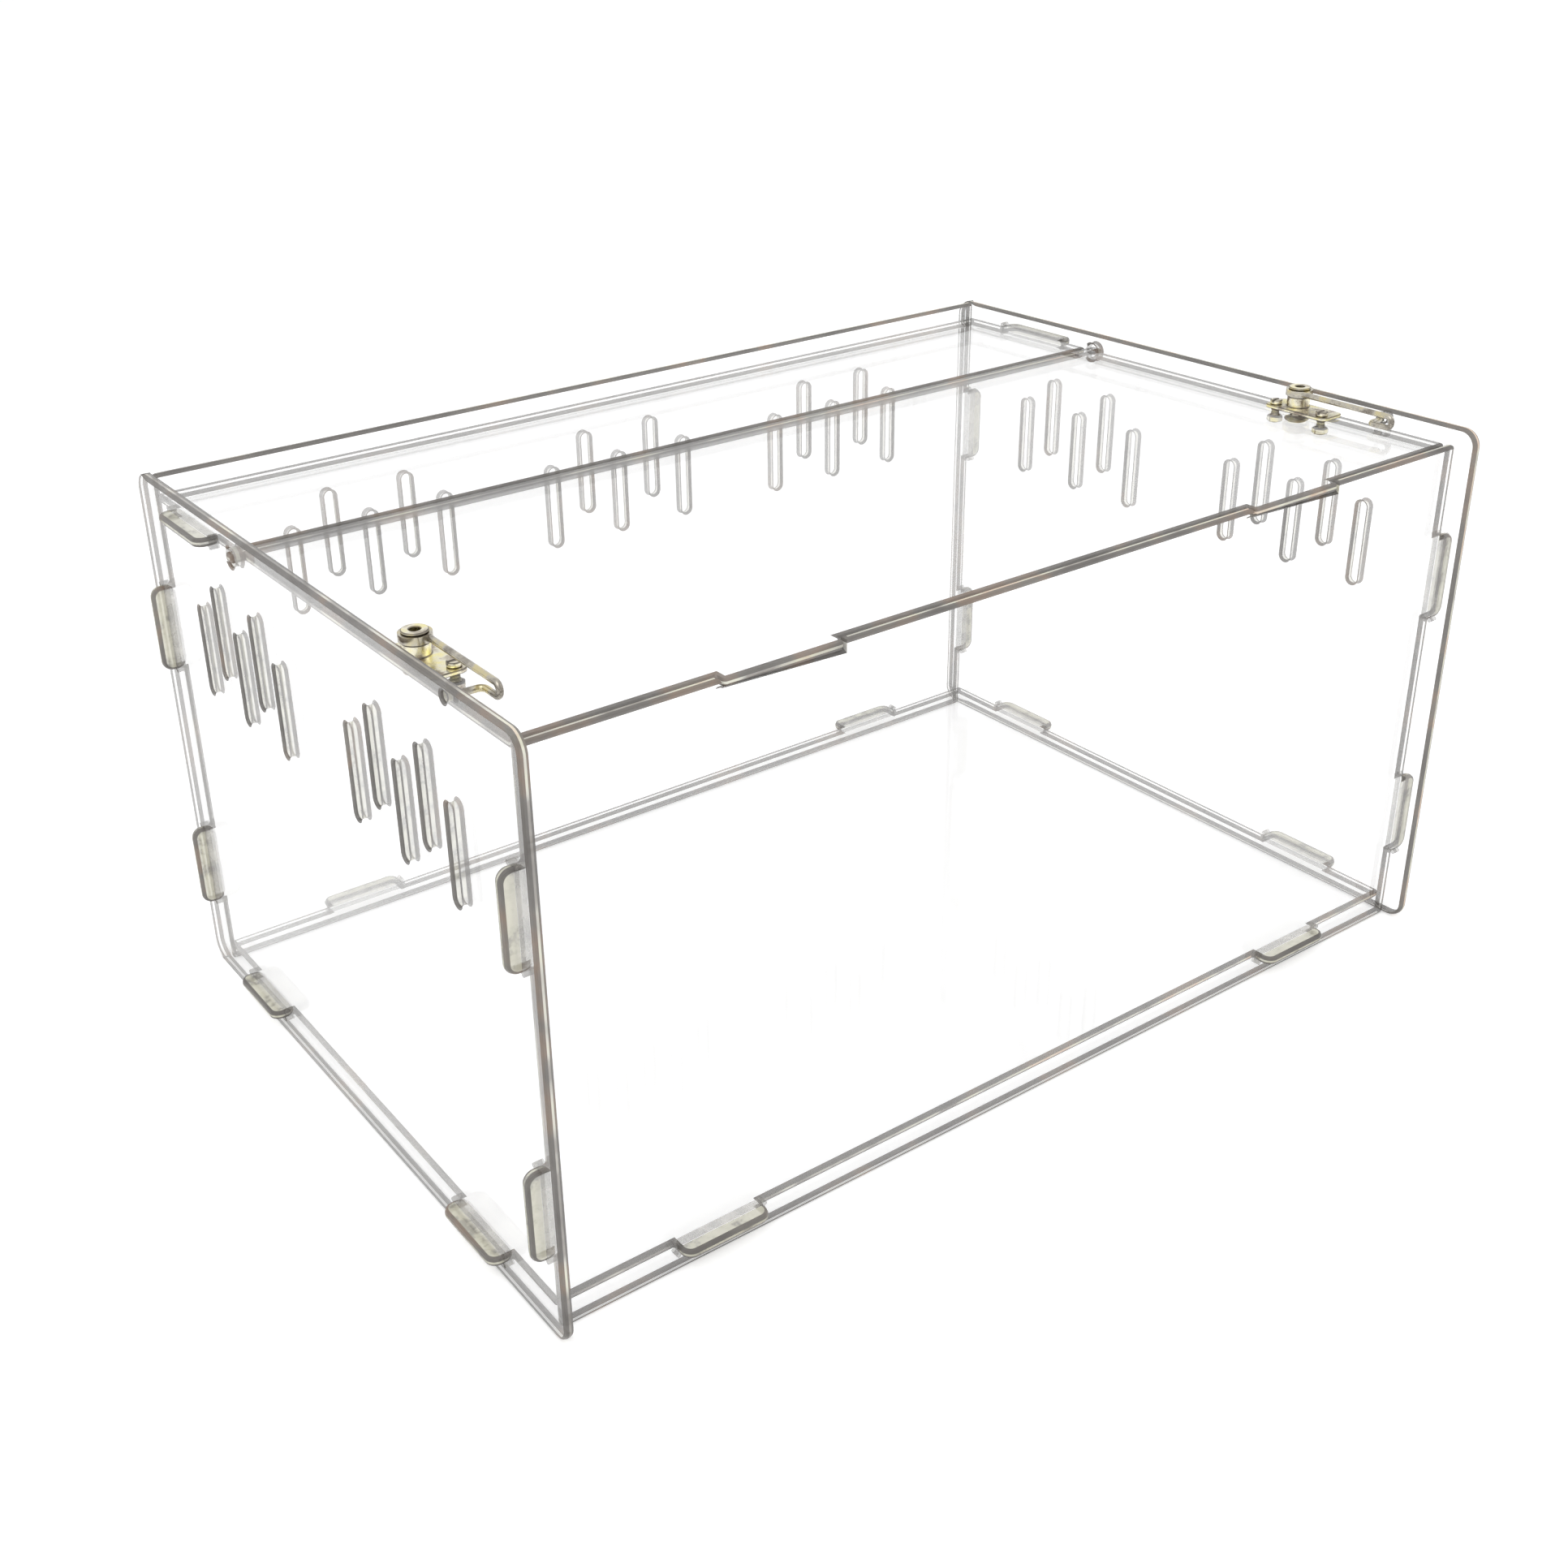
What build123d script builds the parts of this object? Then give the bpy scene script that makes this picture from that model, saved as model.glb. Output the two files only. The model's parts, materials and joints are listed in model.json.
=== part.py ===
from build123d import *
import math
import os

# Clear acrylic small-pet cage with a flip-up lid, cut from flat sheet.
# Millimetres. +X is to the right, +Y to the back, +Z up. The origin is on the ground,
# midway between the side panels and midway along their depth.

# Sheet and its joints
sheet_t = 2.5            # thickness of every sheet
tab_out = 3.5            # how far a tab stands out of the sheet it passes through
slot_gap = 0.15          # clearance all round a tab in its slot
tab_corner_r = 3.0       # rounded outer corners of a tab
relief_r = 0.6           # round relief cut at each corner of a slot

# Side panels
box_width = 300.0        # over the outer faces of the two side panels
side_depth = 207.0
side_height = 154.0
side_corner_r = 5.0

# Where the other sheets stand
front_setback = 6.0      # front panel's outer face behind the side panels' front edge
back_setback = 5.0       # back panel's outer face ahead of the side panels' rear edge
floor_lift = 4.5         # underside of the bottom panel above the ground
lid_drop = 5.0           # top of the lid below the top edge of the side panels

# Tabs: length, and place of the middle of each
wall_tab_len = 25.0      # front and back panels into the side panels
low_wall_tab_z = 34.0
high_wall_tab_drop = 44.0 # below the top edge of the side panels
floor_tab_len = 25.0     # bottom panel into all four walls
floor_side_tab_y = 63.0  # either side of the middle of the depth
floor_wall_tab_x = 102.5 # either side of the middle of the width
strip_tab_len = 28.0
strip_tab_y = 67.0

# Lid
lid_side_gap = 0.5       # between the lid and each side panel
lid_front_gap = 0.5      # between the lid and the front panel
lid_tab_len = 32.0
lid_tab_x = 82.0         # either side of the middle of the width
notch_gap = 0.5          # at each end of a lid tab in its notch
lid_corner_r = 1.0
hinge_y = 39.0           # hinge axis
lid_tail = 1.8           # lid behind the hinge axis
strip_gap = 0.7          # between the lid's tail and the rear strip
hinge_hole_d = 5.0       # round holes in the side panels
tongue_clearance = 0.055 # radial, between a tongue's corners and its hole
tongue_out = 0.5         # tongue stands out of the side panel's outer face

# Vent slots
vent_w = 3.0
vent_len = 25.0
vent_pitch = 12.2
vent_step = 8.8          # every second slot is this much higher
vents_per_group = 5
side_vent_drop = 41.0    # middle of the lower slots below the top edge
side_vent_y = (-46.0, 43.5)
back_vent_drop = 36.7
back_vent_x = (-86.0, 0.0, 86.0)

# Latches, one near each front corner of the lid. In the drawing of the left one,
# sizes called inset are measured inwards from the side panel's inner face.
pivot_inset = 4.6
pivot_setback = 55.6     # pivot behind the side panels' front edge
arm_inset = 6.4          # straight leg of the arm
wire_d = 1.6
latch_hole_d = 2.4
latch_hole_ahead = 25.3  # hole in the side panel ahead of the pivot
latch_hole_rise = 2.0    # and above the lid's top
tip_rest_gap = 0.6       # between the hook's tip and the side panel when released
tip_through = 0.4        # tip beyond the side panel's outer face when latched
hook_bend_r = 1.5
hook_reach = 4.0         # lower run of the hook, from its hairpin to its bend
eye_d = 7.6
eye_t = 1.8              # the wire runs into the middle of the eye's thickness
leg_root_gap = 0.3       # leg starts this far ahead of the eye's hole
rivet_d = 3.8
rivet_bore_d = 2.6
rivet_head_d = 6.2
rivet_head_t = 0.6
rivet_fit = 0.05         # radial, rivet in the arm's eye
axial_gap = 0.05         # above and below the arm's eye
friction_washer_d = 6.2
friction_washer_t = 0.3
back_washer_d = 7.0      # under the lid
back_washer_t = 0.5
rivet_foot_d = 5.6
rivet_foot_t = 0.5
post_d = 6.4
post_height = 3.9        # lid to the top of the post
base_plate_t = 1.0
base_inset = 1.3         # edge of the base plate from the side panel
base_width = 8.8
base_length = 21.6
base_ahead = 13.6        # front end of the base plate ahead of the pivot
base_corner_r = 2.0
screw_d = 2.0
screw_hole_gap = 0.1
screw_head_d = 3.4
screw_head_t = 1.3
screw_slot_w = 0.5
screw_slot_depth = 0.5
screw_inset = 7.7
screw_edge = 2.7         # screw centre from the nearer end of the base plate
nut_across_flats = 4.0
nut_t = 1.6
screw_tail = 0.4         # screw below its nut

# Worked out from the sizes above
half_width = box_width / 2
inner_x = half_width - sheet_t
front_y = -side_depth / 2 + front_setback
back_y = side_depth / 2 - back_setback
lid_top = side_height - lid_drop
lid_bottom = lid_top - sheet_t
floor_mid_z = floor_lift + sheet_t / 2
lid_mid_z = lid_top - sheet_t / 2
inside_front_y = front_y + sheet_t
inside_back_y = back_y - sheet_t
strip_front_y = hinge_y + lid_tail + strip_gap
tab_reach = sheet_t + tab_out
wall_tab_z = (low_wall_tab_z, side_height - high_wall_tab_drop)
side_vent_z = side_height - side_vent_drop
back_vent_z = side_height - back_vent_drop
pivot_y = -side_depth / 2 + pivot_setback
base_front_y = pivot_y - base_ahead
latch_hole_y = pivot_y - latch_hole_ahead
latch_hole_z = lid_top + latch_hole_rise


def tab(length):
    """Flat tab with rounded outer corners, half of it inside the sheet it belongs to."""
    return RectangleRounded(2 * tab_reach, length, tab_corner_r)


def slot(length):
    """Slot for a tab, long way up, with a round relief at each corner."""
    half_w = sheet_t / 2 + slot_gap
    half_l = length / 2 + slot_gap
    shape = Rectangle(2 * half_w, 2 * half_l)
    for x in (-half_w, half_w):
        for y in (-half_l, half_l):
            shape += Pos(x, y) * Circle(relief_r)
    return shape


def vent_group(middle, low_z):
    """Round-ended slots in a row, every second one raised."""
    shape = Sketch()
    for i in range(vents_per_group):
        place = middle + (i - (vents_per_group - 1) / 2) * vent_pitch
        height = low_z + (i % 2) * vent_step
        shape += Pos(place, height) * Rot(0, 0, 90) * SlotOverall(vent_len, vent_w)
    return shape


def across(low_x, outline):
    """Sheet square to X, its outline drawn in Y and Z."""
    return extrude(Plane.YZ.offset(low_x) * outline, amount=sheet_t)


def upright(high_y, outline):
    """Sheet square to Y, its outline drawn in X and Z, from high_y towards the front."""
    return extrude(Plane.XZ.offset(-high_y) * outline, amount=sheet_t)


def flat(low_z, outline):
    """Level sheet, its outline drawn in X and Y."""
    return extrude(Plane.XY.offset(low_z) * outline, amount=sheet_t)


def other_side(shape):
    """The same piece for the right-hand side."""
    return mirror(shape, about=Plane.YZ)


def side_panel():
    outline = Pos(0, side_height / 2) * RectangleRounded(side_depth, side_height, side_corner_r)
    for wall_y in (front_y + sheet_t / 2, back_y - sheet_t / 2):
        for z in wall_tab_z:
            outline -= Pos(wall_y, z) * slot(wall_tab_len)
    for y in (-floor_side_tab_y, floor_side_tab_y):
        outline -= Pos(y, floor_mid_z) * Rot(0, 0, 90) * slot(floor_tab_len)
    outline -= Pos(strip_tab_y, lid_mid_z) * Rot(0, 0, 90) * slot(strip_tab_len)
    outline -= Pos(hinge_y, lid_mid_z) * Circle(hinge_hole_d / 2)
    outline -= Pos(latch_hole_y, latch_hole_z) * Circle(latch_hole_d / 2)
    for middle in side_vent_y:
        outline -= vent_group(middle, side_vent_z)
    return across(-half_width, outline)


def wall_outline(height):
    """Front or back panel without its own cut-outs: two tabs at each end, two floor slots."""
    outline = Pos(0, height / 2) * Rectangle(2 * inner_x, height)
    for x in (-inner_x, inner_x):
        for z in wall_tab_z:
            outline += Pos(x, z) * tab(wall_tab_len)
    for x in (-floor_wall_tab_x, floor_wall_tab_x):
        outline -= Pos(x, floor_mid_z) * Rot(0, 0, 90) * slot(floor_tab_len)
    return outline


def front_panel():
    outline = wall_outline(lid_top)
    for x in (-lid_tab_x, lid_tab_x):
        notch = Rectangle(lid_tab_len + 2 * notch_gap, sheet_t)
        outline -= Pos(x, lid_top - sheet_t / 2) * notch
    return upright(front_y + sheet_t, outline)


def back_panel():
    outline = wall_outline(side_height)
    for middle in back_vent_x:
        outline -= vent_group(middle, back_vent_z)
    return upright(back_y, outline)


def bottom_panel():
    depth = inside_back_y - inside_front_y
    middle_y = (inside_back_y + inside_front_y) / 2
    outline = Pos(0, middle_y) * Rectangle(2 * inner_x, depth)
    for x in (-inner_x, inner_x):
        for y in (-floor_side_tab_y, floor_side_tab_y):
            outline += Pos(x, y) * tab(floor_tab_len)
    for x in (-floor_wall_tab_x, floor_wall_tab_x):
        for y in (inside_front_y, inside_back_y):
            outline += Pos(x, y) * Rot(0, 0, 90) * tab(floor_tab_len)
    return flat(floor_lift, outline)


def rear_strip():
    depth = inside_back_y - strip_front_y
    outline = Pos(0, strip_front_y + depth / 2) * Rectangle(2 * inner_x, depth)
    for x in (-inner_x, inner_x):
        outline += Pos(x, strip_tab_y) * tab(strip_tab_len)
    return flat(lid_bottom, outline)


def screw_places():
    near_x = -inner_x + screw_inset
    return [(near_x, base_front_y + screw_edge),
            (near_x, base_front_y + base_length - screw_edge)]


def lid_panel():
    front_edge = inside_front_y + lid_front_gap
    rear_edge = hinge_y + lid_tail
    half_lid = inner_x - lid_side_gap
    depth = rear_edge - front_edge
    outline = Pos(0, front_edge + depth / 2) * RectangleRounded(2 * half_lid, depth, lid_corner_r)
    tab_depth = front_edge - front_y
    for x in (-lid_tab_x, lid_tab_x):
        shape = RectangleRounded(lid_tab_len, 2 * tab_depth, lid_corner_r)
        outline += Pos(x, front_edge) * shape
    hole_r = hinge_hole_d / 2 - tongue_clearance
    tongue_w = 2 * math.sqrt(hole_r ** 2 - (sheet_t / 2) ** 2)
    tongue_end = half_width + tongue_out
    tongue_root = half_lid - 4 * lid_corner_r
    for side in (-1, 1):
        middle = side * (tongue_end + tongue_root) / 2
        outline += Pos(middle, hinge_y) * Rectangle(tongue_end - tongue_root, tongue_w)
    pivot_x = inner_x - pivot_inset
    for side in (-1, 1):
        outline -= Pos(side * pivot_x, pivot_y) * Circle(rivet_d / 2)
        for x, y in screw_places():
            outline -= Pos(side * x, y) * Circle(screw_d / 2 + screw_hole_gap)
    return flat(lid_bottom, outline)


def cylinder(x, y, low, high, d):
    return Pos(x, y, (low + high) / 2) * Cylinder(d / 2, high - low)


# Heights of the latch's stack above the lid
post_top = lid_top + post_height
washer_top = post_top + friction_washer_t
eye_low = washer_top + axial_gap
eye_high = eye_low + eye_t
head_low = eye_high + axial_gap
head_high = head_low + rivet_head_t
leg_z = (eye_low + eye_high) / 2
pivot_x = -inner_x + pivot_inset


def latch_base():
    plate_x = -inner_x + base_inset + base_width / 2
    plate_y = base_front_y + base_length / 2
    plate = Pos(plate_x, plate_y) * RectangleRounded(base_width, base_length, base_corner_r)
    body = extrude(Plane.XY.offset(lid_top) * plate, amount=base_plate_t)
    body += cylinder(pivot_x, pivot_y, lid_top, post_top, post_d)
    body -= cylinder(pivot_x, pivot_y, lid_top, post_top, rivet_d)
    for x, y in screw_places():
        body -= cylinder(x, y, lid_top, lid_top + base_plate_t, screw_d + 2 * screw_hole_gap)
    return body


def tip_radius():
    """Radius of the hook's tip about the pivot, through the middle of the panel's hole."""
    dx = pivot_x - (-half_width + sheet_t / 2)
    dy = pivot_y - latch_hole_y
    return math.hypot(dx, dy)


def tip_angles():
    """Angle of the tip's end about the pivot, from straight ahead, released and latched."""
    r = tip_radius()
    released = math.asin((pivot_x + inner_x - tip_rest_gap) / r)
    latched = math.asin((pivot_x + half_width + tip_through) / r)
    return released, latched


def latch_arm():
    """Bent wire: leg, hairpin at its front, short lower run, tip on an arc about the pivot."""
    r = tip_radius()
    leg_x = -inner_x + arm_inset
    start = math.asin((pivot_x - leg_x + hook_bend_r) / (r + hook_bend_r))
    bend_y = pivot_y - (r + hook_bend_r) * math.cos(start)
    hairpin_r = (leg_z - latch_hole_z) / 2
    mid_z = (leg_z + latch_hole_z) / 2
    released, latched = tip_angles()

    def on_tip(angle):
        return (pivot_x - r * math.sin(angle), pivot_y - r * math.cos(angle), latch_hole_z)

    turn = math.pi / 2 - start
    half = turn / 2
    bend_mid = (leg_x - hook_bend_r + hook_bend_r * math.cos(half),
                bend_y + hook_bend_r * math.sin(half), latch_hole_z)
    eye_hole_r = rivet_d / 2 + rivet_fit
    leg_start = (leg_x, pivot_y - eye_hole_r - leg_root_gap, leg_z)
    hairpin_y = bend_y - hook_reach
    leg_end = (leg_x, hairpin_y, leg_z)
    under = (leg_x, hairpin_y, latch_hole_z)
    nose = (leg_x, hairpin_y - hairpin_r, mid_z)
    bend_start = (leg_x, bend_y, latch_hole_z)
    path = Wire([
        Edge.make_line(leg_start, leg_end),
        Edge.make_three_point_arc(leg_end, nose, under),
        Edge.make_line(under, bend_start),
        Edge.make_three_point_arc(bend_start, bend_mid, on_tip(start)),
        Edge.make_three_point_arc(on_tip(start), on_tip((start + released) / 2),
                                  on_tip(released)),
    ])
    section = Plane(origin=leg_start, z_dir=(0, -1, 0)) * Circle(wire_d / 2)
    wire = sweep(section, path=path)
    eye = cylinder(pivot_x, pivot_y, eye_low, eye_high, eye_d)
    hole = cylinder(pivot_x, pivot_y, eye_low - 1, eye_high + 1, 2 * eye_hole_r)
    arm = eye + wire - hole
    print("tip radius", round(r, 3), "swing to latch", round(math.degrees(latched - released), 2))
    print("length of the bent wire", round(path.length, 1))
    return arm


def pivot_rivet():
    foot_high = lid_bottom - back_washer_t
    foot_low = foot_high - rivet_foot_t
    body = cylinder(pivot_x, pivot_y, foot_low, head_high, rivet_d)
    body += cylinder(pivot_x, pivot_y, head_low, head_high, rivet_head_d)
    body += cylinder(pivot_x, pivot_y, foot_low, foot_high, rivet_foot_d)
    return body - cylinder(pivot_x, pivot_y, foot_low - 1, head_high + 1, rivet_bore_d)


def washer(low, high, outer_d):
    ring = cylinder(pivot_x, pivot_y, low, high, outer_d)
    return ring - cylinder(pivot_x, pivot_y, low, high, rivet_d)


def base_screws():
    head_low_z = lid_top + base_plate_t
    head_top = head_low_z + screw_head_t
    tail = lid_bottom - nut_t - screw_tail
    screws = []
    for x, y in screw_places():
        screw = cylinder(x, y, tail, head_low_z, screw_d)
        screw += cylinder(x, y, head_low_z, head_top, screw_head_d)
        cut = Box(screw_head_d + 1, screw_slot_w, screw_slot_depth)
        screws.append(screw - Pos(x, y, head_top - screw_slot_depth / 2) * cut)
    return Compound(screws)


def base_nuts():
    nuts = []
    for x, y in screw_places():
        outline = RegularPolygon(nut_across_flats / math.sqrt(3), 6) - Circle(screw_d / 2)
        plane = Plane.XY.offset(lid_bottom - nut_t)
        nuts.append(extrude(plane * Pos(x, y) * outline, amount=nut_t))
    return Compound(nuts)


parts = {
    "left_side_panel": side_panel(),
    "front_panel": front_panel(),
    "back_panel": back_panel(),
    "bottom_panel": bottom_panel(),
    "rear_top_strip": rear_strip(),
    "lid_panel": lid_panel(),
    "left_latch_base": latch_base(),
    "left_latch_arm": latch_arm(),
    "left_latch_rivet": pivot_rivet(),
    "left_latch_friction_washer": washer(post_top, washer_top, friction_washer_d),
    "left_latch_back_washer": washer(lid_bottom - back_washer_t, lid_bottom, back_washer_d),
    "left_latch_screws": base_screws(),
    "left_latch_nuts": base_nuts(),
}
for name in list(parts):
    if name.startswith("left_"):
        parts[name.replace("left_", "right_")] = other_side(parts[name])

os.makedirs("parts", exist_ok=True)
for name, shape in parts.items():
    shape.label = name
    export_step(shape, f"parts/{name}.step")
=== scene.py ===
# %% [markdown]
# # A clear acrylic pet cage, dressed for looks
# The cage is cut from flat sheets of clear acrylic that plug into each other with tabs and
# slots, with a small bright latch near each front corner of the lid. The construction comes
# ready made as a fixed frame, in metres. This lesson gives every sheet its rounded edges and
# its clear, cut and polished surfaces, gives the latches their metal, and lights the result.

# %% Load the frame
import bmesh
import bpy
import json
import math
from mathutils import Matrix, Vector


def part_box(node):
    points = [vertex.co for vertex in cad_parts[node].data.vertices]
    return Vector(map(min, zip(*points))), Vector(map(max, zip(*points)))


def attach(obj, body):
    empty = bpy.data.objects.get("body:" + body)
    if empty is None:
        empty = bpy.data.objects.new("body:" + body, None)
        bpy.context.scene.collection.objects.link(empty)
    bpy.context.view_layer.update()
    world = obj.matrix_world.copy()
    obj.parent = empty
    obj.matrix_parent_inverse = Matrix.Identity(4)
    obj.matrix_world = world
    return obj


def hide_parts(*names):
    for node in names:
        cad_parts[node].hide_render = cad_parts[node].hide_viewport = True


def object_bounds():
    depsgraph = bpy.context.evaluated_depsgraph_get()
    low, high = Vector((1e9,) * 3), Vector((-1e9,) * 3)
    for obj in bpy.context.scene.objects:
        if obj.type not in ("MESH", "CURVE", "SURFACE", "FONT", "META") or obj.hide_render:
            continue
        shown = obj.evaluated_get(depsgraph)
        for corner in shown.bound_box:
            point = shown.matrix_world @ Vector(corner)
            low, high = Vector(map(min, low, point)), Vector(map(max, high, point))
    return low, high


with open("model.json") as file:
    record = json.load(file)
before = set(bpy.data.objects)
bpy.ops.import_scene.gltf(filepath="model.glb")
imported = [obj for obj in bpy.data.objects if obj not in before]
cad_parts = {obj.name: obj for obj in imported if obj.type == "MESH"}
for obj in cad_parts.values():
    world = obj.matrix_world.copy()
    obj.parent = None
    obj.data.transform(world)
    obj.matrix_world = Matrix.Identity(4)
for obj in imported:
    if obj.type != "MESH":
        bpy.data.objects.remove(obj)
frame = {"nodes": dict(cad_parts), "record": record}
cad_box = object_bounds()
MM = 0.001
body_of_node = {}
for body, nodes in frame["record"]["behaviour"]["bodies"].items():
    for node in nodes:
        body_of_node[node] = body
print("nodes", len(body_of_node), "size mm", [round(v / MM, 1) for v in cad_box[1] - cad_box[0]])

# %% [markdown]
# ## The camera
# The view comes first, because every later choice is judged in it. The photograph was taken
# from in front, to the left and above, with a lens a little longer than normal. The box's
# straight edges give where the camera stood, how it was turned and its focal length. Those
# edges alone ask for a larger lens shift. It is kept smaller here so that views from other
# sides aren't cropped, and the edges then miss the photograph's by about 6 pixels, 16 at most.

# %% Place the camera
camera_place_mm = (-297.3, -382.2, 307.1)
look_azimuth = 34.32      # degrees to the right of straight back
look_down = 26.43
roll = -1.78
lens_mm = 42.58
sensor_mm = 36.0
picture_px = 1932
lens_centre_px = (870, 915)

camera_data = bpy.data.cameras.new("studio_camera")
camera_data.sensor_width = sensor_mm
camera_data.lens = lens_mm
camera_data.shift_x = (picture_px / 2 - lens_centre_px[0]) / picture_px
camera_data.shift_y = (lens_centre_px[1] - picture_px / 2) / picture_px
camera_data.clip_start = 0.01
camera_data.clip_end = 50.0
camera = bpy.data.objects.new("studio_camera", camera_data)
bpy.context.scene.collection.objects.link(camera)
turn = Matrix.Rotation(math.radians(-look_azimuth), 4, "Z")
tilt = Matrix.Rotation(math.radians(90 - look_down), 4, "X")
lean = Matrix.Rotation(math.radians(roll), 4, "Z")
place = Matrix.Translation([v * MM for v in camera_place_mm])
camera.matrix_world = place @ turn @ tilt @ lean
bpy.context.scene.camera = camera
print("shift", round(camera_data.shift_x, 3), round(camera_data.shift_y, 3))

# %% [markdown]
# ## Two small helpers for materials
# Colours are given as hex values, the way a paint shop names them. A renderer counts
# light, not hex steps, so one function turns the hex value into linear light. The other adds
# one node, sets what it is given and links what it is given, so that each material below
# reads as a short list.

# %% Colour and node helpers
def linear(hex_colour):
    """Linear red, green, blue and alpha of an sRGB colour written as a hex string."""
    values = []
    for i in (1, 3, 5):
        v = int(hex_colour[i:i + 2], 16) / 255
        values.append(v / 12.92 if v <= 0.04045 else ((v + 0.055) / 1.055) ** 2.4)
    return (*values, 1.0)


def add(tree, kind, links=None, stops=None, **settings):
    """One new node. settings are its properties, links are input name: value or socket.

    stops are the (position, hex colour) pairs of a colour band.
    """
    node = tree.nodes.new(kind)
    for name, value in settings.items():
        setattr(node, name, value)
    for name, value in (links or {}).items():
        if isinstance(value, bpy.types.NodeSocket):
            tree.links.new(value, node.inputs[name])
        else:
            node.inputs[name].default_value = value
    for i, (position, colour) in enumerate(stops or []):
        band = node.color_ramp.elements
        element = band[i] if i < len(band) else band.new(position)
        element.position = position
        element.color = linear(colour)
    return node


def new_material(name):
    """A material with an empty node tree: (material, tree, output node)."""
    material = bpy.data.materials.new(name)
    material.use_nodes = True
    tree = material.node_tree
    tree.nodes.clear()
    return material, tree, add(tree, "ShaderNodeOutputMaterial")


# %% [markdown]
# ## Clear acrylic, the broad faces
# Cast acrylic (PMMA) has an IOR of 1.49. Seen square on, a polished face sends back about
# four hundredths of the light and lets the rest through; seen at a slant it turns into a weak
# mirror. Real refraction through a flat sheet only shifts what is behind it by under a
# millimetre, so a clear shader mixed with a glossy one by Fresnel gives the same look with no
# noise. Such a ray isn't bent inside the sheet, so the Fresnel node is told the inverse IOR on
# the far surface, or it would take every slanted ray there for a trapped one. The gloss is
# broken a little by wiping marks from the cloth that cleaned the sheet.

# %% Broad faces
acrylic_ior = 1.49
wipe_mark_mm = 18.0
clean_roughness = 0.01
wiped_roughness = 0.06

face_clear, tree, output = new_material("cast_acrylic_polished_face")
coords = add(tree, "ShaderNodeTexCoord")
wipe = add(tree, "ShaderNodeTexNoise",
           {"Vector": coords.outputs["Object"], "Scale": 1 / (wipe_mark_mm * MM), "Detail": 3.0})
haze = add(tree, "ShaderNodeMapRange",
           {"Value": wipe.outputs["Fac"], "To Min": clean_roughness, "To Max": wiped_roughness})
through = add(tree, "ShaderNodeBsdfTransparent", {"Color": linear("#FEFEFE")})
gloss = add(tree, "ShaderNodeBsdfGlossy",
            {"Color": linear("#FFFFFF"), "Roughness": haze.outputs["Result"]})
side = add(tree, "ShaderNodeNewGeometry")
ior_here = add(tree, "ShaderNodeMapRange",
               {"Value": side.outputs["Backfacing"], "To Min": acrylic_ior, "To Max": 1 / acrylic_ior})
mirror_share = add(tree, "ShaderNodeFresnel", {"IOR": ior_here.outputs["Result"]})
mix = add(tree, "ShaderNodeMixShader", {"Fac": mirror_share.outputs["Fac"]})
tree.links.new(through.outputs[0], mix.inputs[1])
tree.links.new(gloss.outputs[0], mix.inputs[2])
tree.links.new(mix.outputs[0], output.inputs["Surface"])
print(face_clear.name)

# %% [markdown]
# ## Clear acrylic, the cut edges
# A laser leaves the edge of a sheet glossy but finely ribbed, square to the faces. Light that
# is trapped in the sheet comes out there, so an edge looks denser than the sheet. Its colour is
# painted light and shade: a painted glow, pale and slightly yellow in places and peach where
# warm light runs along it, and painted grey shade elsewhere, mostly towards the cage's left,
# away from the light. Broad soft noise makes those stretches, and a fine wave makes the ribs.
# Real ribs are about a tenth of a millimetre apart; they are drawn coarser here, because
# otherwise they wouldn't show. Seen from inside the sheet, an edge is a total mirror of the
# white room, so its far side is left almost clear.

# %% Cut edges
stretch_mm = 24.0
rib_mm = 0.7
half_width = cad_box[1].x
# the edge colour leans to painted shade at the cage's left and painted light at its right
painted_shade_to_left = -0.13
painted_light_to_right = 0.05
edge_density = 0.85       # alpha seen from outside
far_edge_density = 0.12   # alpha seen from inside the sheet
rib_strength = 0.25

edge_cut, tree, output = new_material("cast_acrylic_laser_cut_edge")
coords = add(tree, "ShaderNodeTexCoord")
stretches = add(tree, "ShaderNodeTexNoise",
                {"Vector": coords.outputs["Object"], "Scale": 1 / (stretch_mm * MM),
                 "Detail": 2.5, "Roughness": 0.65})
across = add(tree, "ShaderNodeSeparateXYZ", {"Vector": coords.outputs["Object"]})
lean_here = add(tree, "ShaderNodeMapRange",
                {"Value": across.outputs["X"], "From Min": -half_width, "From Max": half_width,
                 "To Min": painted_shade_to_left, "To Max": painted_light_to_right})
place_on_band = add(tree, "ShaderNodeMath",
                    {0: stretches.outputs["Fac"], 1: lean_here.outputs["Result"]}, operation="ADD")
# painted light and shade: grey painted shade through a painted straw and peach glow
tint = add(tree, "ShaderNodeValToRGB", {"Fac": place_on_band.outputs[0]},
           stops=[(0.24, "#7F7A74"), (0.36, "#A39D95"), (0.44, "#E3E0D3"), (0.52, "#F3F1DA"),
                  (0.58, "#F0D2B8"), (0.64, "#EFEDD9"), (0.74, "#B5B0A6")])
ribs = add(tree, "ShaderNodeTexWave",
           {"Vector": coords.outputs["Object"], "Scale": math.pi / (10 * rib_mm * MM),
            "Distortion": 1.5, "Detail": 1.0},
           bands_direction="DIAGONAL")
bump = add(tree, "ShaderNodeBump",
           {"Height": ribs.outputs["Fac"], "Strength": rib_strength, "Distance": 0.05 * MM})
side = add(tree, "ShaderNodeNewGeometry")
density = add(tree, "ShaderNodeMapRange",
              {"Value": side.outputs["Backfacing"], "To Min": edge_density, "To Max": far_edge_density})
shader = add(tree, "ShaderNodeBsdfPrincipled",
             {"Base Color": tint.outputs["Color"], "Roughness": 0.18, "IOR": acrylic_ior,
              "Alpha": density.outputs["Result"], "Normal": bump.outputs["Normal"]})
tree.links.new(shader.outputs[0], output.inputs["Surface"])
print(edge_cut.name)

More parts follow.
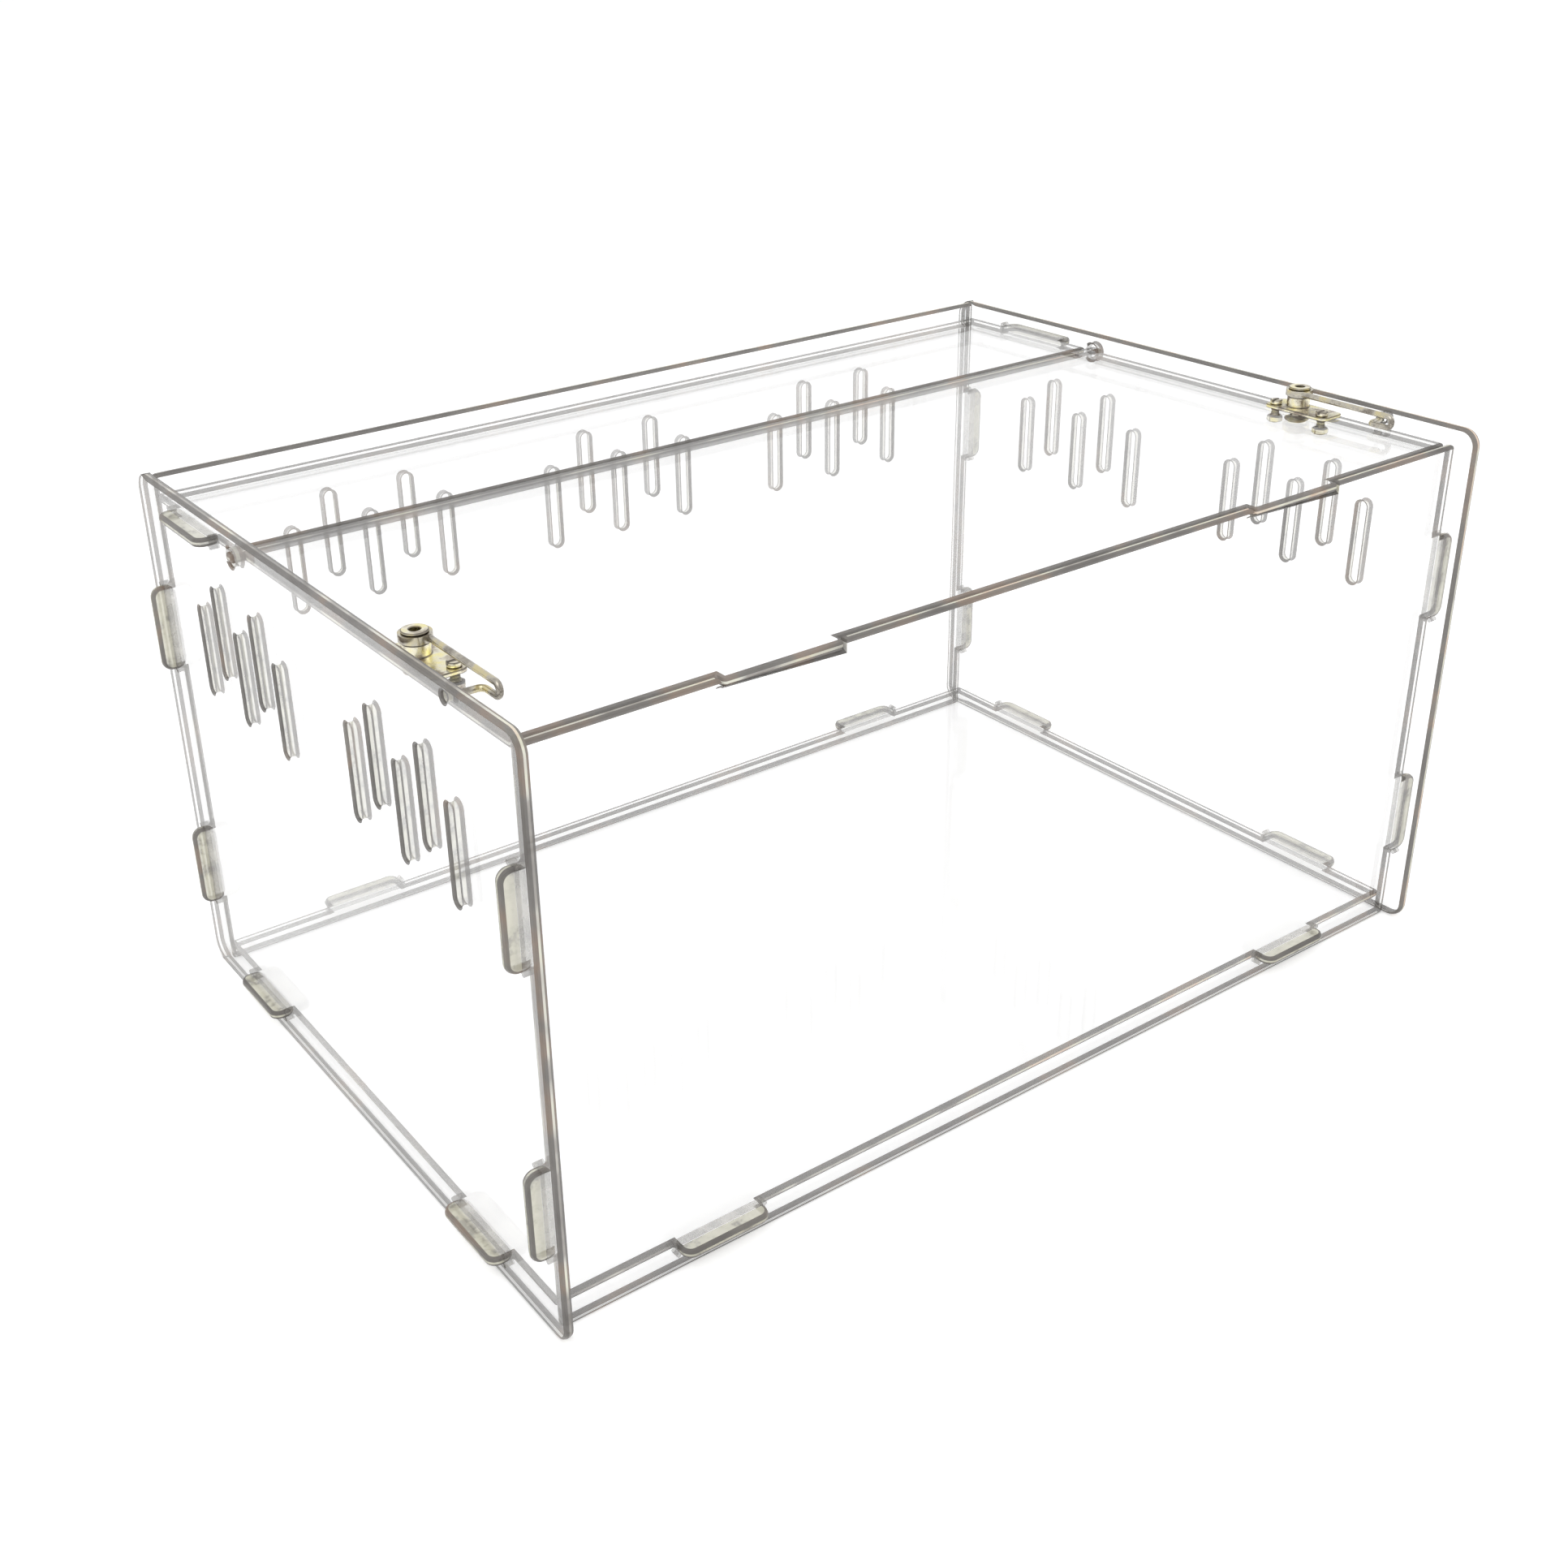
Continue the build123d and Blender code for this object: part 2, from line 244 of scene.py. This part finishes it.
# %% [markdown]
# ## Clear acrylic, the rounded arris
# A polished corner between face and edge works as a tiny strong lens: it bends what is behind
# it so hard that it reads as a grey line, and these lines are what the eye uses to see a clear
# box at all. A clear shader bends nothing, so the line is drawn instead, as a grey tint on a
# bevel. The bevel is wider than a real corner would be, to give the line its width in the
# photograph. Where it is seen through the sheet the line is a little weaker.

# %% Arris
arris_density = 0.95
far_arris_density = 0.8

arris_grey, tree, output = new_material("cast_acrylic_flame_polished_arris")
coords = add(tree, "ShaderNodeTexCoord")
drift = add(tree, "ShaderNodeTexNoise",
            {"Vector": coords.outputs["Object"], "Scale": 1 / (stretch_mm * MM), "Detail": 3.0})
tint = add(tree, "ShaderNodeValToRGB", {"Fac": drift.outputs["Fac"]},
           stops=[(0.35, "#65615D"), (0.52, "#77736E"), (0.60, "#8D7C6E"), (0.68, "#827E77")])
side = add(tree, "ShaderNodeNewGeometry")
density = add(tree, "ShaderNodeMapRange",
              {"Value": side.outputs["Backfacing"], "To Min": arris_density, "To Max": far_arris_density})
shader = add(tree, "ShaderNodeBsdfPrincipled",
             {"Base Color": tint.outputs["Color"], "Roughness": 0.25, "IOR": acrylic_ior,
              "Alpha": density.outputs["Result"]})
tree.links.new(shader.outputs[0], output.inputs["Surface"])
print(arris_grey.name)

# %% [markdown]
# ## Clear acrylic, the small walls
# Three small surfaces look different from a long cut edge. The wall of a vent is short, so
# the room shines into it from both sides; its pale colour is painted light, with small patches
# of painted grey shade. A tab that stands out of its slot gets painted light of pale straw with
# patches of painted grey shade. The wall of a slot gets a painted shadow, the shadow beside the
# tab. All three are one recipe of partly clear acrylic whose colours are painted light and
# shade, each with other colours and another density.

# %% Small walls
# the size of the patches of painted shade on the small walls
shade_patch_mm = 5.0


def small_wall(name, colours, density):
    """Partly clear acrylic with painted light and shade. colours are three hex colours from painted shade
    to painted light, density is its alpha.
    """
    material, tree, output = new_material(name)
    coords = add(tree, "ShaderNodeTexCoord")
    shade_patches = add(tree, "ShaderNodeTexNoise",
                  {"Vector": coords.outputs["Object"], "Scale": 1 / (shade_patch_mm * MM),
                   "Detail": 3.0, "Roughness": 0.6})
    tint = add(tree, "ShaderNodeValToRGB", {"Fac": shade_patches.outputs["Fac"]},
               stops=[(0.36, colours[0]), (0.47, colours[1]), (0.60, colours[2])])
    shader = add(tree, "ShaderNodeBsdfPrincipled",
                 {"Base Color": tint.outputs["Color"], "Roughness": 0.2, "IOR": acrylic_ior,
                  "Alpha": density})
    tree.links.new(shader.outputs[0], output.inputs["Surface"])
    print(material.name)
    return material


# vent wall: pale painted light with patches of painted grey shade
vent_wall = small_wall("cast_acrylic_vent_wall", ("#A8A59B", "#DAD7C6", "#F4F1DC"), 0.5)
# tab: pale straw painted light with patches of painted grey shade
tab_face = small_wall("cast_acrylic_tab_painted_light_and_shade", ("#A9A69A", "#E6E3CC", "#F3F0DA"), 0.55)
# slot wall: greys that are a painted shadow beside the tab
slot_wall = small_wall("cast_acrylic_slot_wall", ("#76726D", "#8C8882", "#B7B3AA"), 0.5)

# %% [markdown]
# ## Give each sheet its edges
# Each sheet of the frame is right in shape but has knife-sharp corners and one surface. A copy
# of its mesh is merged, its flat regions joined into single faces, and its sharp edges
# bevelled. The bevel marks its own faces, and the direction of each other face says whether
# it is a broad face or a cut edge. The outline of a sheet gets the broad arris, and vents and
# small holes get a finer one. The walls of a slot lie against the tab in it, so they stay
# sharp. Sheets with tabs are cut through in line with the outside of the box, so that what
# stands proud of it has faces of its own to tint.

# %% Which sheets there are
arris_mm = 0.95
vent_arris_mm = 0.75
arris_steps = 2
SHARP = math.radians(60)
FACE, EDGE, ARRIS, VENT, TAB, SLOT = range(6)     # material slots of every sheet
thin_axis = {"left_side_panel": 0, "right_side_panel": 0, "front_panel": 1, "back_panel": 1,
             "bottom_panel": 2, "rear_top_strip": 2, "lid_panel": 2}
comes_through = {"left_side_panel": ("front_panel", "back_panel", "bottom_panel", "rear_top_strip"),
                 "right_side_panel": ("front_panel", "back_panel", "bottom_panel", "rear_top_strip"),
                 "front_panel": ("bottom_panel",), "back_panel": ("bottom_panel",)}

# %% Tell slots and vents from outlines
slot_reach_mm = 0.9       # a slot's reliefs reach this far beyond the sheet that comes through
rim_mm = 1.6              # a vent or hole is at least this far in from the outline
box_of = {node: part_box(node) for node in thin_axis}
wall_end = box_of["right_side_panel"][0][0]
outside_low = (box_of["left_side_panel"][0][0], box_of["front_panel"][0][1])
outside_high = (box_of["right_side_panel"][1][0], box_of["back_panel"][1][1])
with_tabs = ("front_panel", "back_panel", "bottom_panel", "rear_top_strip")


def inside(point, low, high, margin, axes=(0, 1, 2)):
    """Whether a point is in a box that is grown by margin, along the given axes."""
    return all(low[i] - margin <= point[i] <= high[i] + margin for i in axes)


def in_slot(verts, node):
    """Whether all these vertices lie round the tabs of one sheet that comes through."""
    for other in comes_through.get(node, ()):
        low, high = box_of[other]
        if all(inside(v.co, low, high, slot_reach_mm * MM) for v in verts):
            return True
    return False


def in_vent(verts, node):
    """Whether all these vertices lie well inside the outline of a wall."""
    if node not in comes_through:
        return False
    low, high = [list(corner) for corner in box_of[node]]
    if thin_axis[node] != 0:
        low[0], high[0] = -wall_end, wall_end
    axes = [i for i in range(3) if i != thin_axis[node]]
    return all(inside(v.co, low, high, -rim_mm * MM, axes) for v in verts)


def cut_at_outside(shape, node):
    """Cuts a sheet with tabs along the outside of the box and tints what stands proud."""
    for axis, (low, high) in enumerate(zip(outside_low, outside_high)):
        if axis == thin_axis[node]:
            continue
        normal = [float(i == axis) for i in range(3)]
        for reach in (low, high):
            everything = shape.verts[:] + shape.edges[:] + shape.faces[:]
            place = [reach if i == axis else 0.0 for i in range(3)]
            bmesh.ops.bisect_plane(shape, geom=everything, plane_co=place, plane_no=normal)
        for face in shape.faces:
            middle = face.calc_center_median()[axis]
            if (middle < low or middle > high) and face.material_index in (FACE, EDGE):
                face.material_index = TAB


# %% Sheet function
def merged_copy(node):
    """A bmesh of a frame node with its doubles merged and its flat regions joined."""
    shape = bmesh.new()
    shape.from_mesh(frame["nodes"][node].data)
    bmesh.ops.remove_doubles(shape, verts=shape.verts, dist=0.001 * MM)
    bmesh.ops.dissolve_limit(shape, angle_limit=math.radians(0.5), verts=shape.verts,
                             edges=shape.edges)
    return shape


def to_piece(shape, name, node, materials):
    """Turns a bmesh into a piece that stands for a frame node and moves with its body."""
    mesh = bpy.data.meshes.new(name)
    shape.to_mesh(mesh)
    shape.free()
    for material in materials:
        mesh.materials.append(material)
    piece = bpy.data.objects.new(name, mesh)
    bpy.context.scene.collection.objects.link(piece)
    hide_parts(node)
    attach(piece, body_of_node[node])
    return piece


def clear_sheet(node):
    """A sheet with bevelled edges, and its own acrylic on each kind of surface."""
    shape = merged_copy(node)
    for face in shape.faces:
        face.material_index = EDGE
        if abs(face.normal[thin_axis[node]]) > 0.9:
            face.material_index = FACE
        elif in_slot(face.verts, node):
            face.material_index = SLOT
        elif in_vent(face.verts, node):
            face.material_index = VENT
    sharp = [e for e in shape.edges if e.calc_face_angle(0.0) > SHARP]
    sharp = [e for e in sharp if not in_slot(e.verts, node)]
    fine = [e for e in sharp if in_vent(e.verts, node)]
    broad = [e for e in sharp if not in_vent(e.verts, node)]
    for edges, width in ((fine, vent_arris_mm), (broad, arris_mm)):
        edges = [e for e in edges if e.is_valid]
        if edges:
            bmesh.ops.bevel(shape, geom=edges, offset=width * MM, offset_type="OFFSET",
                            affect="EDGES", segments=arris_steps, profile=0.5, material=ARRIS,
                            clamp_overlap=False)
    shape.normal_update()
    if node in with_tabs:
        cut_at_outside(shape, node)
    piece = to_piece(shape, node + "_sheet", node,
                     [face_clear, edge_cut, arris_grey, vent_wall, tab_face, slot_wall])
    print(piece.name, "faces", len(piece.data.polygons), "vent edges", len(fine))
    return piece


# %% Make the sheets
for node in thin_axis:
    clear_sheet(node)

# %% [markdown]
# ## Bright nickel on the latches
# The latches are mild steel with a thin bright nickel plate: a mirror, but a warmer one than
# chrome. Cheap plate over stamped steel keeps the faint grain of the steel, so the roughness
# wanders, and the colour wanders at random between a dull grey, silver and straw.

# %% Nickel
grain_mm = 0.6
cloud_mm = 5.0
grain_strength = 0.15
mottle_mm = 1.5
nylon_ior = 1.53


def nickel(name, light, straw, dull, roughness):
    """Nickel plate whose colour wanders between three hex colours."""
    material, tree, output = new_material(name)
    coords = add(tree, "ShaderNodeTexCoord")
    clouds = add(tree, "ShaderNodeTexNoise",
                 {"Vector": coords.outputs["Object"], "Scale": 1 / (cloud_mm * MM), "Detail": 4.0})
    tint = add(tree, "ShaderNodeValToRGB", {"Fac": clouds.outputs["Fac"]},
               stops=[(0.38, dull), (0.5, light), (0.62, straw)])
    grain = add(tree, "ShaderNodeTexNoise",
                {"Vector": coords.outputs["Object"], "Scale": 1 / (grain_mm * MM), "Detail": 3.0})
    rough = add(tree, "ShaderNodeMapRange",
                {"Value": grain.outputs["Fac"], "To Min": roughness - 0.08, "To Max": roughness + 0.12})
    bump = add(tree, "ShaderNodeBump",
               {"Height": grain.outputs["Fac"], "Strength": grain_strength, "Distance": 0.03 * MM})
    shader = add(tree, "ShaderNodeBsdfPrincipled",
                 {"Base Color": tint.outputs["Color"], "Metallic": 1.0,
                  "Roughness": rough.outputs["Result"], "Normal": bump.outputs["Normal"]})
    tree.links.new(shader.outputs[0], output.inputs["Surface"])
    return material


plate = nickel("bright_nickel_plate", "#E9E4CF", "#EFE6AE", "#9B8E80", 0.22)
wire = nickel("bright_nickel_wire", "#BDB8AC", "#CFC49C", "#8E887F", 0.2)
# darker nickel for the latch bevels: painted shade that outlines each piece
painted_shade_rim_nickel = nickel("nickel_plate_painted_shade_rim", "#827C72", "#948766", "#6B655E", 0.3)

nylon, tree, output = new_material("natural_nylon_washer")
coords = add(tree, "ShaderNodeTexCoord")
mottle = add(tree, "ShaderNodeTexNoise",
             {"Vector": coords.outputs["Object"], "Scale": 1 / (mottle_mm * MM), "Detail": 2.0})
tint = add(tree, "ShaderNodeValToRGB", {"Fac": mottle.outputs["Fac"]},
           stops=[(0.4, "#D9D6CB"), (0.6, "#E8E6DC")])
shader = add(tree, "ShaderNodeBsdfPrincipled",
             {"Base Color": tint.outputs["Color"], "Roughness": 0.5, "IOR": nylon_ior})
tree.links.new(shader.outputs[0], output.inputs["Surface"])

# %% [markdown]
# ## The latch pieces
# Stamped and turned pieces have small broken edges that catch the light. Each one is a
# bevelled copy of its frame node; the bevel gets a darker nickel, painted shade that keeps its
# outline readable against a white room. The wire arms are round already, so they only take a material.

# %% Latch function
latch_arris_mm = 0.25


def latch_piece(node, surface, corner):
    """A latch piece with its edges broken, the bevel in corner, a darker nickel that paints shade."""
    shape = merged_copy(node)
    sharp = [e for e in shape.edges if e.calc_face_angle(0.0) > SHARP]
    # the bevel faces take slot 1, the darker nickel of painted shade
    bmesh.ops.bevel(shape, geom=sharp, offset=latch_arris_mm * MM, offset_type="OFFSET",
                    affect="EDGES", segments=arris_steps, profile=0.5, material=1,
                    clamp_overlap=False)
    for face in shape.faces:
        face.smooth = True
    piece = to_piece(shape, node + "_finished", node, [surface, corner])
    piece.modifiers.new("smooth_by_area", "WEIGHTED_NORMAL").keep_sharp = True
    return piece


# %% Make the latches
for side in ("left", "right"):
    for part in ("latch_base", "latch_rivet", "latch_back_washer", "latch_screws", "latch_nuts"):
        latch_piece(f"{side}_{part}", plate, painted_shade_rim_nickel)
    frame["nodes"][f"{side}_latch_friction_washer"].data.materials.clear()
    frame["nodes"][f"{side}_latch_friction_washer"].data.materials.append(nylon)
    arm = frame["nodes"][f"{side}_latch_arm"]
    arm.data.materials.clear()
    arm.data.materials.append(wire)

# %% [markdown]
# ## Floor, room and lamps
# A clear object is lit by its surroundings. The room is an even white, a little dimmer as a
# light source than it looks, and two large soft lamps add direction. The floor shows a soft
# shadow, and adds just enough glow to what the camera, mirrors and clear sheets see of it to
# read as the white of the room.

# %% What is looked at
def looked_at(tree):
    """1 for what the camera, a mirror or a clear sheet sees, 0 where light is only gathered."""
    path = add(tree, "ShaderNodeLightPath")
    seen = add(tree, "ShaderNodeMath",
               {0: path.outputs["Is Camera Ray"], 1: path.outputs["Is Glossy Ray"]},
               operation="MAXIMUM")
    seen = add(tree, "ShaderNodeMath", {0: seen.outputs[0], 1: path.outputs["Is Transmission Ray"]},
               operation="MAXIMUM")
    return seen.outputs[0]


# %% Floor
floor_size_m = 8.0
floor_glow = 0.42
floor_shape = bmesh.new()
bmesh.ops.create_grid(floor_shape, x_segments=1, y_segments=1, size=floor_size_m / 2)
floor_mesh = bpy.data.meshes.new("studio_floor")
floor_shape.to_mesh(floor_mesh)
floor_shape.free()
floor = bpy.data.objects.new("studio_floor", floor_mesh)
bpy.context.scene.collection.objects.link(floor)

floor_paper, tree, output = new_material("white_background_paper")
glow = add(tree, "ShaderNodeMath", {0: looked_at(tree), 1: floor_glow}, operation="MULTIPLY")
paper = add(tree, "ShaderNodeBsdfDiffuse", {"Color": linear("#F2F2F2")})
light = add(tree, "ShaderNodeEmission", {"Strength": glow.outputs[0]})
both = add(tree, "ShaderNodeAddShader")
tree.links.new(paper.outputs[0], both.inputs[0])
tree.links.new(light.outputs[0], both.inputs[1])
tree.links.new(both.outputs[0], output.inputs["Surface"])
floor_mesh.materials.append(floor_paper)

# %% Room and lamps
room_light = 0.72
lamps = (("window_left", (-0.9, -0.5, 1.3), 1.1, 5.0),     # name, place and size in metres, watts
         ("fill_right", (1.1, -0.8, 0.9), 0.9, 2.0))
world = bpy.data.worlds.new("white_room")
bpy.context.scene.world = world
world.use_nodes = True
tree = world.node_tree
tree.nodes.clear()
strength = add(tree, "ShaderNodeMapRange", {"Value": looked_at(tree), "To Min": room_light, "To Max": 1.0})
sky = add(tree, "ShaderNodeBackground", {"Color": (1, 1, 1, 1), "Strength": strength.outputs["Result"]})
add(tree, "ShaderNodeOutputWorld", {"Surface": sky.outputs[0]})


def soft_lamp(name, place, size, watts):
    """A square soft lamp that looks at the middle of the cage."""
    data = bpy.data.lights.new(name, "AREA")
    data.shape = "SQUARE"
    data.size = size
    data.energy = watts
    lamp = bpy.data.objects.new(name, data)
    bpy.context.scene.collection.objects.link(lamp)
    middle = (cad_box[0] + cad_box[1]) / 2
    lamp.location = place
    lamp.rotation_mode = "QUATERNION"
    lamp.rotation_quaternion = (middle - lamp.location).to_track_quat("-Z", "Y")
    return lamp


for name, place, size, watts in lamps:
    soft_lamp(name, place, size, watts)

# %% [markdown]
# ## Picture settings
# Looking through the cage crosses many clear surfaces, each of which counts as a step for a
# ray. The default of eight steps would leave black patches, so it is raised.

# %% Settings
bpy.context.scene.view_settings.view_transform = "Standard"
bpy.context.scene.cycles.transparent_max_bounces = 64
